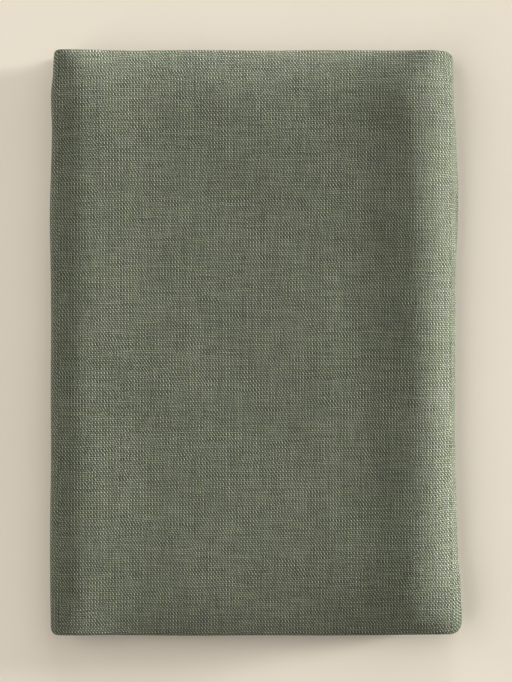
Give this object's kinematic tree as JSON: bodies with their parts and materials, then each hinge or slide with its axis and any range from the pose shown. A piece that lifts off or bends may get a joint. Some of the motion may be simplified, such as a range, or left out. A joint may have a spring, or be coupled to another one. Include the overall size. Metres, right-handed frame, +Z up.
{
  "type": "folded tablecloth",
  "caption": "Coarse plain-weave linen tablecloth folded to a soft flat packet, with panels that open on their creases like a book.",
  "frame": {"origin": "centre of the packet's footprint, on the surface that it lies on", "axes": "+X across the panels, from the left crease to the right creases; +Y along the packet's long sides, from the front folds to the back folds; +Z up out of the stack"},
  "size_m": [0.25, 0.3626, 0.024],
  "materials": {
    "linen": "washed, coarse plain weave with slubs, matt, sage green",
    "hem": "the same cloth, turned twice and pressed",
    "sewing_thread": "spun polyester sewing thread, matched to the cloth"
  },
  "bodies": {
    "lower": {"panel1_lower_leaf": "linen", "panel1_lower_leaf_front_fold": "linen", "panel1_lower_leaf_back_fold": "linen", "panel1_lower_leaf_side_hem": "hem", "panel1_lower_leaf_side_thread": "sewing_thread", "panel1_upper_leaf": "linen", "panel1_upper_leaf_front_fold": "linen", "panel1_upper_leaf_back_fold": "linen", "panel1_upper_leaf_side_hem": "hem", "panel1_upper_leaf_side_thread": "sewing_thread", "panel2_lower_leaf": "linen", "panel2_lower_leaf_front_fold": "linen", "panel2_lower_leaf_back_fold": "linen", "panel2_lower_leaf_side_hem": "hem", "panel2_lower_leaf_side_thread": "sewing_thread", "panel2_upper_leaf": "linen", "panel2_upper_leaf_front_fold": "linen", "panel2_upper_leaf_back_fold": "linen", "panel2_upper_leaf_side_hem": "hem", "panel2_upper_leaf_side_thread": "sewing_thread", "lower_end_hem": "hem", "lower_end_thread": "sewing_thread", "upper_end_hem": "hem", "upper_end_thread": "sewing_thread", "lower_right_crease_outer_loop": "linen", "lower_right_crease_inner_loop": "linen", "left_crease_outer_loop": "linen", "left_crease_inner_loop": "linen"},
    "middle": {"panel3_lower_leaf": "linen", "panel3_lower_leaf_front_fold": "linen", "panel3_lower_leaf_back_fold": "linen", "panel3_lower_leaf_side_hem": "hem", "panel3_lower_leaf_side_thread": "sewing_thread", "panel3_upper_leaf": "linen", "panel3_upper_leaf_front_fold": "linen", "panel3_upper_leaf_back_fold": "linen", "panel3_upper_leaf_side_hem": "hem", "panel3_upper_leaf_side_thread": "sewing_thread", "upper_right_crease_outer_loop": "linen", "upper_right_crease_inner_loop": "linen"},
    "upper": {"panel4_lower_leaf": "linen", "panel4_lower_leaf_front_fold": "linen", "panel4_lower_leaf_back_fold": "linen", "panel4_lower_leaf_side_hem": "hem", "panel4_lower_leaf_side_thread": "sewing_thread", "panel4_upper_leaf": "linen", "panel4_upper_leaf_front_fold": "linen", "panel4_upper_leaf_back_fold": "linen", "panel4_upper_leaf_side_hem": "hem", "panel4_upper_leaf_side_thread": "sewing_thread", "centre_fold": "linen"}
  },
  "joints": [
    {"name": "left_crease_fold", "type": "hinge", "parent": "lower", "child": "middle", "pos_m": [-0.1205, 0, 0.012], "axis": [0, -1, 0], "range_deg": [0, 180], "deforming": ["left_crease_outer_loop", "left_crease_inner_loop", "centre_fold"]},
    {"name": "upper_right_crease_fold", "type": "hinge", "parent": "middle", "child": "upper", "pos_m": [0.1205, 0, 0.018], "axis": [0, 1, 0], "range_deg": [0, 180], "deforming": ["upper_right_crease_outer_loop", "upper_right_crease_inner_loop"]}
  ]
}
